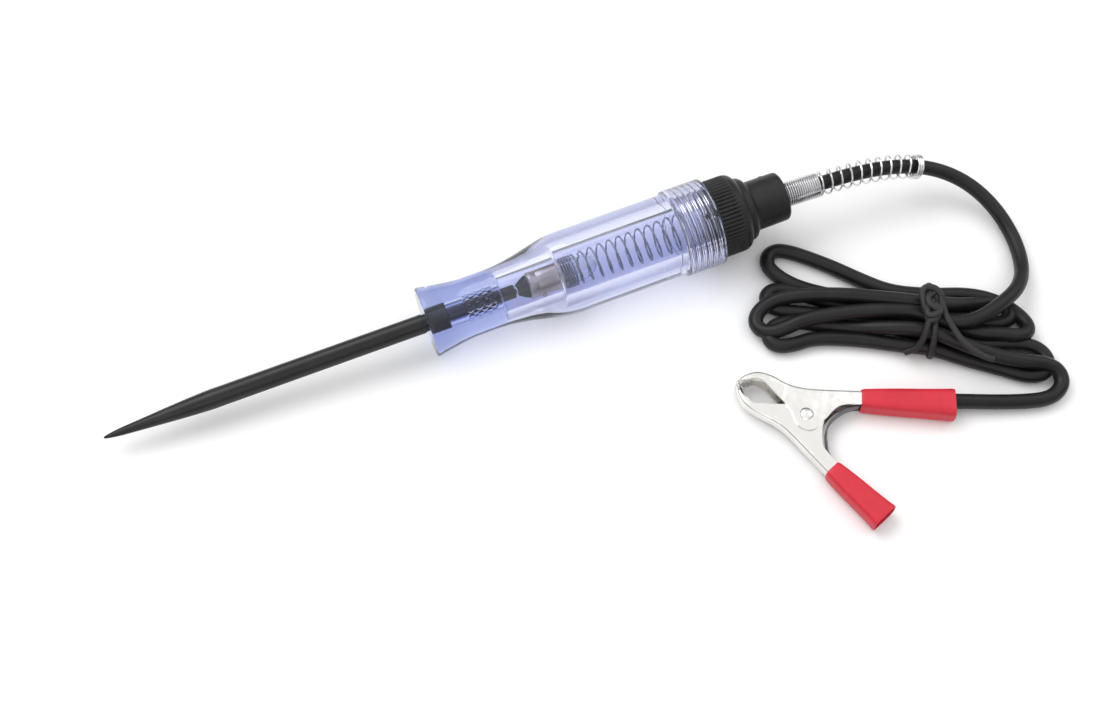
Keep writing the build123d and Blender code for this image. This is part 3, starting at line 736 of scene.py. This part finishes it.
def makeContactSpring():
    front, rear, steps = contactSpring["front"], contactSpring["rear"], contactSpring["stepsPerTurn"]
    closeTurns, openTurns, wire = (contactSpring[key] for key in ("closeTurns", "openTurns", "wire"))
    frontRadius, rearRadius = contactSpring["frontRadius"], contactSpring["rearRadius"]
    turns = closeTurns + openTurns + contactSpring["lastTurns"]
    close = wire * contactSpring["closePitch"]
    count = int(turns * steps)
    opened = []
    for step in range(count):
        turn = (step + 0.5) / steps - closeTurns + 0.4
        opened.append(min(max(turn, 0), 1) - min(max(turn - openTurns, 0), 1))
    extra = (rear - front - close * turns) / (sum(opened) / steps)
    station, line = front, []
    for step in range(count + 1):
        turn = step / steps
        share = min(max((turn - closeTurns) / openTurns, 0), 1)
        radius = frontRadius + (rearRadius - frontRadius) * share
        angle = contactSpring["startAngle"] + 2 * pi * turn
        line.append((station, radius * cos(angle), radius * sin(angle)))
        if step < count:
            station += (close + extra * opened[step]) / steps
    piece = makePiece("contactSpring", tube(line, wire, sides=12), "springWire", None, toolFrame,
                      "spring_steel", "contact_spring")
    onAxis(rear) * mm
    onAxis(front + 1) * mm
    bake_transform(piece)


makeContactSpring()

# end cap with its contact cup

cap = {
    "radius": 9.65, "ribs": 60, "ribDepth": 0.34, "ribFrom": 152.7, "ribTo": 158.3, "front": 152.5,
    "dome": [
        (157.8, 9.65), (158.9, 9.5), (159.7, 9.05), (160.2, 8.4), (160.45, 7.95), (161.2, 7.85),
        (161.9, 7.55), (162.45, 7.0), (162.8, 6.3),
    ],
    "neck": 6.15, "neckEnd": 171.4, "socket": 3.25, "socketFloor": 164.0, "wireHole": 1.95,
    "cableSeat": 155.6, "boss": 4.8, "bossFront": 148.3, "bossHole": 0.8, "spigotFront": 149.7,
    "spigot": 7.35, "spigotEnd": 152.3, "threadDepth": 0.35,
    "gateMark": {"station": 167.5, "angle": 0.62, "radius": 0.55, "height": 0.16},
    "cup": [
        (147.9, 0.62), (147.9, 4.6), (147.95, 4.85), (148.1, 5.06), (148.3, 5.12), (149.25, 5.12),
        (149.4, 5.08), (149.4, 4.82), (148.32, 4.82), (148.3, 0.62),
    ],
    "solder": [
        (147.9, 0.6), (147.9, 1.62), (147.78, 1.55), (147.62, 1.3), (147.45, 1.05), (147.3, 0.72),
        (147.28, 0.6),
    ],
    "strandsFront": 147.2,
}


def capShape(station, angle, radius):
    if abs(radius - cap["spigot"]) < 0.001:
        start, end = cap["spigotFront"], cap["spigotEnd"] + 0.1
        return radius + threadDepth(station, angle, handle["pitch"], cap["threadDepth"], start, end)
    if cap["ribFrom"] <= station <= cap["ribTo"] and radius > 9:
        fade = min((station - cap["ribFrom"]) / 0.3, (cap["ribTo"] - station) / 0.7, 1)
        valley = abs(sin(angle * cap["ribs"] / 2)) ** 0.7
        return radius - cap["ribDepth"] * max(fade, 0) * (1 - valley)
    mark = cap["gateMark"]
    along = station - mark["station"]
    around = radius * ((angle - mark["angle"] + pi) % (2 * pi) - pi)
    if radius > 5.5 and abs(along) < mark["radius"] and abs(around) < mark["radius"]:
        return radius + mark["height"] * max(0, 1 - (along ** 2 + around ** 2) / mark["radius"] ** 2)
    return radius


def solderShape(station, angle, radius):
    # a little uneven, as a blob sets
    return radius * (1 + 0.05 * sin(2 * angle + 0.4) + 0.03 * sin(5 * angle)) if radius > 0.7 else radius


def capBody():
    front, radius, neck, end = cap["front"], cap["radius"], cap["neck"], cap["neckEnd"]
    boss, bossFront, bossHole = cap["boss"], cap["bossFront"], cap["bossHole"]
    spigot, spigotFront, spigotEnd = cap["spigot"], cap["spigotFront"], cap["spigotEnd"]
    socket, socketFloor, wireHole = cap["socket"], cap["socketFloor"], cap["wireHole"]
    profile = [(bossFront, bossHole), (bossFront, boss - 0.15), (bossFront + 0.15, boss)]
    profile += [(spigotFront, boss), (spigotFront, spigot - 0.25)]
    profile += evenly((spigotFront + 0.15, spigot), (spigotEnd, spigot), 30)
    profile += [(front, spigot + 0.1), *evenly((front, 8.2), (front, radius - 0.3), 2)]
    profile += quarter((front, radius), (front, radius - 0.22), (front + 0.2, radius), 3)
    profile += evenly((front + 0.3, radius), (157.7, radius), 14)
    profile += throughPoints(cap["dome"], 3)[1:]
    profile += [(163.0, neck + 0.06), *evenly((163.4, neck), (end - 1.0, neck - 0.08), 24)]
    profile += quarter((end, neck - 0.1), (end - 0.9, neck - 0.09), (end, neck - 0.95), 6)
    profile += [(end, socket + 0.35), *quarter((end, socket), (end, socket + 0.3), (end - 0.3, socket), 3)]
    profile += [(socketFloor, socket), (socketFloor, wireHole), (cap["cableSeat"], wireHole),
                (cap["cableSeat"], bossHole)]
    return lathe(profile, 480, closed=True, shape=capShape)


# bare copper strands with a slow twist
strands = {"count": 7, "wire": 0.36, "lay": 9.0, "steps": 24, "inClipBehind": 0.5, "inClipBeyond": 6.5}


def strandBundle(start, end):
    start, end = Vector(start), Vector(end)
    heading = (end - start).normalized()
    beside = heading.cross(Vector((0, 0, 1))).normalized()
    over = beside.cross(heading)
    shapes = []
    for index in range(strands["count"]):
        ring = 0 if index == 0 else strands["wire"] * 1.02
        route = []
        for step in range(strands["steps"] + 1):
            place = start.lerp(end, step / strands["steps"])
            angle = 2 * pi * (index / (strands["count"] - 1) + (place - start).length / strands["lay"])
            route.append(place + (beside * cos(angle) + over * sin(angle)) * ring)
        shapes.append(tube(route, strands["wire"], sides=8))
    return joined(shapes)


def makeCap():
    cup = lathe(cap["cup"], 96, closed=True)
    solder = lathe(cap["solder"], 48, closed=True, shape=solderShape)
    bare = strandBundle((cap["strandsFront"], 0, 0), (cap["cableSeat"], 0, 0))
    for name, shape, finish, slotName, node, crease in (
        ("endCap", capBody(), "capPlastic", "cap_plastic", "end_cap", 38),
        ("contactCup", cup, "cupPlate", "cup_nickel", "contact_cup", 32),
        ("solderBlob", solder, "solder", "solder", "cap_solder", 32),
        ("capStrands", bare, "copperStrand", "copper", "cap_conductor", 32),
    ):
        makePiece(name, shape, finish, "cap_and_lead", toolFrame, slotName, node, crease=crease)


makeCap()
print("cap made")

# strain relief spring, wound round the cable

strainSpring = {
    "wire": 0.55, "outerRadius": 3.15, "seat": 164.0, "closeEnd": 180.6, "closePitch": 0.565,
    "openTurns": 10.6, "endTurns": 2.4, "end": 208.5, "stepsPerTurn": 24, "firstAngle": 0.5,
}


def alongLine(line):
    # gives the place and heading at a distance along a line of points
    lengths = [0.0]
    for first, second in zip(line, line[1:]):
        lengths.append(lengths[-1] + (second - first).length)

    def at(distance):
        index = 0
        while index < len(lengths) - 2 and lengths[index + 1] < distance:
            index += 1
        share = (distance - lengths[index]) / max(lengths[index + 1] - lengths[index], 1e-9)
        before = line[max(index - 1, 0)]
        after = line[min(index + 2, len(line) - 1)]
        return line[index].lerp(line[index + 1], share), (after - before).normalized()

    return at


def makeStrainSpring():
    wire, closeEnd, closePitch = strainSpring["wire"], strainSpring["closeEnd"], strainSpring["closePitch"]
    lastTurns = strainSpring["end"] - strainSpring["endTurns"] * wire * 1.04
    openPitch = (lastTurns - closeEnd) / strainSpring["openTurns"] * 1.04
    placeAt = alongLine(cordLine)
    station, angle, line = strainSpring["seat"], strainSpring["firstAngle"], []
    radius = strainSpring["outerRadius"] - wire / 2
    while station < strainSpring["end"]:
        centre, heading = placeAt(station - cord["firstStation"])
        beside = heading.cross(Vector((0, 0, 1))).normalized()
        over = beside.cross(heading)
        line.append(centre + (beside * cos(angle) + over * sin(angle)) * radius)
        opened = min(max((station - closeEnd) / 1.2, 0), 1) * min(max((lastTurns - station) / 0.8, 0), 1)
        station += (closePitch + (openPitch - closePitch) * opened) / strainSpring["stepsPerTurn"]
        angle += 2 * pi / strainSpring["stepsPerTurn"]
    return makePiece("strainSpring", tube(line, wire), "zincWire", "cap_and_lead", partFrame, "spring_zinc",
                     "strain_spring")


strainPiece = makeStrainSpring()
print("springs made")

# cable tie: a soft strip round the bundle, knotted on top

tie = {
    "width": 1.6, "thickness": 1.25,
    "middle": (107.5, -40.0), "across": (0.42, 0.91), "flatSide": (0.9, -0.42, 0.1),
    "ring": [
        (-9.4, 2.4), (-7.8, 0.9), (0, 0.8), (7.8, 0.9), (9.4, 2.7), (8.6, 5.0), (4.6, 8.5), (0.5, 8.75),
        (-5.2, 8.4), (-8.8, 4.9),
    ],
    "loop": [
        (104.4, -43.0, 9.4), (104.7, -41.4, 9.9), (105.0, -38.9, 10.6), (105.7, -36.2, 11.2),
        (107.1, -35.3, 11.6), (108.9, -36.3, 11.6), (109.7, -38.1, 11.0), (109.3, -39.9, 10.3),
        (108.8, -42.8, 9.8), (109.0, -46.2, 9.4), (109.6, -49.6, 8.9), (111.2, -52.8, 8.2),
        (113.2, -55.0, 7.4), (115.2, -56.4, 6.9),
    ],
    "wrap": [
        (108.4, -37.0, 10.9), (106.6, -37.6, 11.3), (105.9, -39.2, 11.4), (106.6, -40.8, 11.3),
        (107.0, -42.2, 10.8), (105.8, -43.2, 10.4), (104.4, -43.0, 9.8), (103.3, -44.2, 8.7),
        (101.9, -45.7, 6.6), (100.2, -46.1, 4.2), (98.2, -45.5, 2.5),
    ],
    "hitch": [
        (107.6, -38.4, 10.4), (105.2, -40.2, 10.6), (104.8, -41.8, 10.8), (106.6, -42.4, 11.2),
        (108.0, -41.2, 10.9), (107.4, -39.6, 10.3),
    ],
}


def makeTie():
    width, thickness = tie["width"], tie["thickness"]
    acrossWay = Vector((*tie["across"], 0)).normalized()
    middle = Vector((*tie["middle"], 0))
    ring = [middle + acrossWay * reach + Vector((0, 0, height)) for reach, height in tie["ring"]]
    ring = throughPoints([ring[-1], *ring, ring[0], ring[1]], 8)[8:-8]
    shapes = []
    for line, wide, thick in (
        (ring, width, thickness),
        (throughPoints(tie["loop"], 8), width * 1.05, thickness * 1.1),
        (throughPoints(tie["wrap"], 8), width, thickness * 1.1),
        (throughPoints(tie["hitch"], 8), width * 1.1, thickness * 1.1),
    ):
        shapes.append(tube(line, thick, wide, sides=14, up=tie["flatSide"]))
    return makePiece("cableTie", joined(shapes), "tieStrip", "cap_and_lead", partFrame, "tie_plastic",
                     "cable_tie")


tiePiece = makeTie()
print("tie made")

# clip: folded sheet jaws, in the clip's own frame with the rivet at the origin

clip = {
    "middle": 2.7, "origin": (68.6, -52.7), "turn": -22.4, "sheet": 0.48, "fold": 0.75,
    "fixedHeight": 4.4, "leverHeight": 3.3, "softEdge": 0.09, "teeth": 4, "toothDepth": 0.35,
    "fixedBack": [
        (-16.3, 8.1), (-14.0, 10.1), (-10.9, 11.0), (-7.4, 10.0), (-4.4, 8.2), (-1.4, 7.2), (3.0, 6.7),
        (13.0, 6.5), (29.0, 6.0),
    ],
    "fixedFront": [
        [(29.0, 3.0), (13.0, 2.9), (9.6, 2.7)],
        [(9.6, 2.7), (7.7, 2.2), (6.2, 1.0), (4.8, -0.7), (3.4, -2.0)],
        [(3.4, -2.0), (1.9, -3.6), (0.2, -4.0), (-1.7, -3.2), (-2.9, -1.2)],
        [(-2.9, -1.2), (-3.8, 1.4), (-9.1, 7.8)],
        [(-9.1, 7.8), (-10.1, 8.7), (-11.3, 9.1), (-12.6, 9.0)],
    ],
    "leverBack": [
        (-16.0, 7.5), (-15.7, 5.4), (-14.7, 3.2), (-13.1, 1.5), (-10.8, 0.0), (-7.4, -1.9), (-4.0, -4.9),
        (4.4, -14.7), (13.4, -24.4),
    ],
    "leverFront": [
        [(15.3, -22.6), (6.4, -12.0), (4.5, -9.4)],
        [(4.5, -9.4), (3.6, -8.0), (3.4, -6.4), (3.5, -4.6), (3.6, -3.0)],
        [(3.6, -3.0), (4.2, -1.0), (4.1, 1.0), (2.8, 2.3), (0.8, 3.2), (-1.6, 3.2)],
        [(-1.6, 3.2), (-4.9, 2.7), (-9.0, 2.7), (-12.0, 2.8)], [(-12.0, 2.8), (-12.9, 3.4), (-13.6, 4.4)],
    ],
    "rivetHead": [
        (0, 0.48), (0.5, 0.46), (0.95, 0.38), (1.3, 0.24), (1.5, 0.1), (1.58, 0.02), (1.58, -0.02),
        (1.12, -0.02),
    ],
}
strip = {
    "route": [
        (18.0, 4.6), (13.0, 3.4), (9.2, 2.0), (6.0, -0.6), (4.5, -3.4), (4.3, -6.6), (4.7, -9.6),
        (5.9, -12.4), (8.4, -16.0),
    ],
    "thick": 0.19, "tall": 1.05, "corner": 0.08, "standOff": 0.2,
    "still": (6.4, -0.4, 0), "moving": (5.2, -11.4, 0),
}
clipPlace = Vector((*clip["origin"], clip["middle"])) * mm
clipFrame = Matrix.Translation(clipPlace) @ Matrix.Rotation(radians(clip["turn"]), 4, "Z")


def toothedEdge(start, end):
    # small pointed teeth between the last corner of the jaw and its tip
    start, end = Vector(start), Vector(end)
    way = (end - start).normalized()
    out = Vector((-way.y, way.x))
    edge = []
    for tooth in range(clip["teeth"]):
        base = start.lerp(end, tooth / clip["teeth"])
        edge += [base, start.lerp(end, (tooth + 0.5) / clip["teeth"]) + out * clip["toothDepth"]]
    return edge + [end]


def plateEdge(back, front):
    # the open edge of a plate, from the handle round to the teeth
    edge = []
    for part in front:
        run = [Vector(point) for point in part]
        if len(part) > 2:
            run = throughPoints(part, 6 if len(part) > 3 else 3)
        edge += run[:-1]
    tip = back[0].to_2d() + (back[1] - back[0]).to_2d().normalized() * 0.2
    return edge + toothedEdge(front[-1][-1], tip + (edge[-1] - tip).normalized() * 0.5)


def jawShape(back, front, height, inward):
    # two plates joined by a web along the back edge, bent from one sheet
    back = throughPoints([(*point, 0) for point in back], 7)
    edge = plateEdge(back, front)
    fold, half, count = clip["fold"], height / 2, len(back)
    bend = []
    for step in range(7):
        angle = pi / 12 * step
        bend.append((fold * (1 - sin(angle)), half - fold + fold * cos(angle)))
    rows = bend + [(0, half - fold - (height - 2 * fold) * share / 4) for share in (1, 2, 3)]
    rows += [(offset, -level) for offset, level in bend[::-1]]
    points, faces = [], []
    for offset, level in rows:
        for index, place in enumerate(back):
            heading = headingAt(back, index)
            normal = Vector((heading.y, -heading.x, 0)) * inward
            points.append(place + normal * offset + Vector((0, 0, level)))
    for row in range(len(rows) - 1):
        for a in range(row * count, row * count + count - 1):
            faces.append((a, a + 1, a + 1 + count, a + count))
    for rowStart, level in ((0, half), ((len(rows) - 1) * count, -half)):
        start = len(points)
        points += [Vector((x, y, level)) for x, y in edge]
        faces.append((*range(rowStart, rowStart + count), *range(start, len(points))))
    return points, faces


def makeJaw(name, finish, body, node, back, front, height, inward):
    shape = jawShape(back, front, height, inward)
    piece = makePiece(name, shape, finish, body, clipFrame, "clip_nickel", node, crease=50)
    work = bmesh.new()
    work.from_mesh(piece.data)
    bmesh.ops.triangulate(work, faces=[face for face in work.faces if len(face.verts) > 4])
    # the sheet thickens inwards, so its faces must look out of the back edge
    web = min(work.verts, key=lambda vert: abs(vert.co.z) + abs(vert.co.x))
    outward = sum((face.normal for face in web.link_faces), Vector())
    if outward.y * inward < 0:
        bmesh.ops.reverse_faces(work, faces=work.faces)
    work.to_mesh(piece.data)
    work.free()
    thicken = piece.modifiers.new("sheet", "SOLIDIFY")
    thicken.thickness = clip["sheet"] * mm
    thicken.offset = -1
    soften = piece.modifiers.new("edges", "BEVEL")
    soften.width = clip["softEdge"] * mm
    soften.segments = 2
    soften.limit_method = "ANGLE"
    soften.angle_limit = radians(40)
    soften.harden_normals = True
    return piece


fixedJaw = makeJaw("fixedJaw", "fixedNickel", "cap_and_lead", "clip_fixed_jaw", clip["fixedBack"],
                   clip["fixedFront"], clip["fixedHeight"], 1)
makeJaw("leverJaw", "leverNickel", "clip_lever", "clip_lever_jaw", clip["leverBack"], clip["leverFront"],
        clip["leverHeight"], -1)


def makeRivet():
    head = [(clip["fixedHeight"] / 2 + rise, reach) for reach, rise in clip["rivetHead"]]

    def peened(level, angle, radius):
        return radius * (1 + 0.02 * sin(3 * angle + level)) if 0.9 < radius else radius

    points, faces = lathe(head + [(-level, reach) for level, reach in head[::-1]], 48, shape=peened)
    shape = [(across, up, level) for level, across, up in points], faces
    makePiece("rivet", shape, "nickelPlate", "cap_and_lead", clipFrame, "clip_nickel", "clip_rivet")


def makeStrip():
    # the bowed strip that spreads the handles
    line = throughPoints([(*point, 0) for point in strip["route"]], 8)
    thick, tall, corner = strip["thick"], strip["tall"], strip["corner"]
    section = [(-thick, corner - tall), (corner - thick, -tall)]
    section += [(thick - corner, -tall), (thick, corner - tall)]
    section += [(-offset, -level) for offset, level in section]
    points = []
    for index, place in enumerate(line):
        heading = headingAt(line, index)
        beside = Vector((-heading.y, heading.x, 0))
        points += [place + beside * (offset + strip["standOff"]) + Vector((0, 0, level))
                   for offset, level in section]
    shape = points, skin(len(line), len(section))
    piece = makePiece("stripSpring", shape, "stripSteel", None, clipFrame, "strip_steel", "clip_spring")
    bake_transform(piece)


makeRivet()
makeStrip()

# red sleeves on the two handles

grips = {
    "wall": 0.4, "roundness": 4.0, "sides": 72, "steps": 28,
    "fixed": {
        "start": (13.1, 4.7), "end": (35.1, 4.1), "lip": 0.1,
        "startSize": (4.7, 5.3), "endSize": (7.3, 5.3),
    },
    "lever": {
        "start": (5.4, -13.2), "end": (16.8, -24.9), "lip": 0.2,
        "startSize": (4.4, 4.5), "endSize": (6.9, 5.2),
    },
}


def squared(value):
    # pushes a sine or cosine outwards, so that a round section grows corners
    return abs(value) ** (2 / grips["roundness"]) * (1 if value >= 0 else -1)


def makeGrip(name, sleeve, body, node):
    start, end = Vector((*sleeve["start"], 0)), Vector((*sleeve["end"], 0))
    heading = (end - start).normalized()
    beside = Vector((heading.y, -heading.x, 0))
    (startWide, startHigh), (endWide, endHigh) = sleeve["startSize"], sleeve["endSize"]
    rows = []
    for step in range(grips["steps"] + 1):
        share = step / grips["steps"]
        fromEnd = min(share, 1 - share) * (end - start).length
        rows.append((share, 0.14 * max(0, 1 - fromEnd / 0.3) ** 2))
    rows += [(share, grips["wall"]) for share in (1, 0.8, 0.5, 0.2, 0)]
    points, sides = [], grips["sides"]
    for share, inset in rows:
        swell = 0.10 * sin(pi * min(share * 1.6, 1)) + sleeve["lip"] * max(0, (share - 0.86) / 0.14) ** 2
        width = startWide + (endWide - startWide) * share ** 0.9 + 2 * swell
        height = startHigh + (endHigh - startHigh) * share
        for side in range(sides):
            angle = 2 * pi * side / sides
            reach = squared(cos(angle)) * (width / 2 - inset)
            rise = squared(sin(angle)) * (height / 2 - inset)
            # pressed slightly hollow over the flats of the handle
            hollow = 1 - 0.05 * sin(pi * min(share * 1.5, 1)) * cos(angle) ** 2 * (1 - abs(cos(angle)))
            points.append(start.lerp(end, share) + beside * reach + Vector((0, 0, rise * hollow)))
    shape = points, skin(len(rows), sides, closed=True)
    return makePiece(name, shape, "redVinyl", body, clipFrame, "red_vinyl", node, crease=40)


def makeClipStrands():
    end, before = Vector(cord["lead"][-1]), Vector(cord["lead"][-2])
    way = (end - before).normalized()
    bare = strandBundle(end - way * strands["inClipBehind"], end + way * strands["inClipBeyond"])
    makePiece("clipStrands", bare, "copperStrand", "cap_and_lead", partFrame, "copper", "clip_conductor")


fixedGrip = makeGrip("fixedGrip", grips["fixed"], "cap_and_lead", "clip_grip_fixed")
makeGrip("leverGrip", grips["lever"], "clip_lever", "clip_grip_lever")
makeClipStrands()
print("clip made")

# floor and lights

stage = {
    "paper": [(0.93, 0.93, 0.933), (0.95, 0.95, 0.952)], "paperHalf": 3,
    "room": (0.20, 1.0), "aim": (0.02, -0.02, 0),
    "lights": {
        "keyLight": ((-0.25, 0.5, 0.8), (1.0, 0.6), 5.0),
        "sideLight": ((0.8, 0.1, 0.7), (0.8, 0.8), 1.8),
        "frontLight": ((-0.4, -0.7, 0.65), (1.0, 0.7), 1.5),
    },
}


def makeFloor():
    far = stage["paperHalf"]
    mesh = bpy.data.meshes.new("floor")
    mesh.from_pydata([(-far, -far, 0), (far, -far, 0), (far, far, 0), (-far, far, 0)], [], [(0, 1, 2, 3)])
    floorPiece = bpy.data.objects.new("floor", mesh)
    paper = Finish("floorPaper")
    paper.set(Base_Color=paper.blendColours(paper.noise(60, 2, 0.5), *stage["paper"]), Roughness=0.8)
    mesh.materials.append(paper.material)
    bpy.context.scene.collection.objects.link(floorPiece)


def makeRoom():
    # bright overhead and dimmer towards the walls, which draws the edges of the bright metal
    world = bpy.data.worlds.new("studio")
    room = Finish("studio", world)
    backdrop = room.tree.nodes["Background"]
    parts = room.add("SeparateXYZ", None, {0: Wire(room, room.add("TexCoord").outputs["Generated"])})
    brightness = room.spread(Wire(room, parts.outputs[2]), 0.05, 1.0, *stage["room"])
    room.feed(backdrop.inputs["Color"], (1.0, 1.0, 1.0))
    room.feed(backdrop.inputs["Strength"], brightness)
    bpy.context.scene.world = world


def makeLights():
    for name, (place, size, power) in stage["lights"].items():
        light = bpy.data.lights.new(name, "AREA")
        light.shape = "RECTANGLE"
        light.size, light.size_y = size
        light.energy = power
        panel = bpy.data.objects.new(name, light)
        panel.location = place
        panel.rotation_euler = (Vector(stage["aim"]) - Vector(place)).to_track_quat("-Z", "Y").to_euler()
        bpy.context.scene.collection.objects.link(panel)
    bpy.context.scene.view_settings.view_transform = "Standard"


makeFloor()
makeRoom()
makeLights()
print("stage made")

onAxis(cap["neckEnd"]) * mm
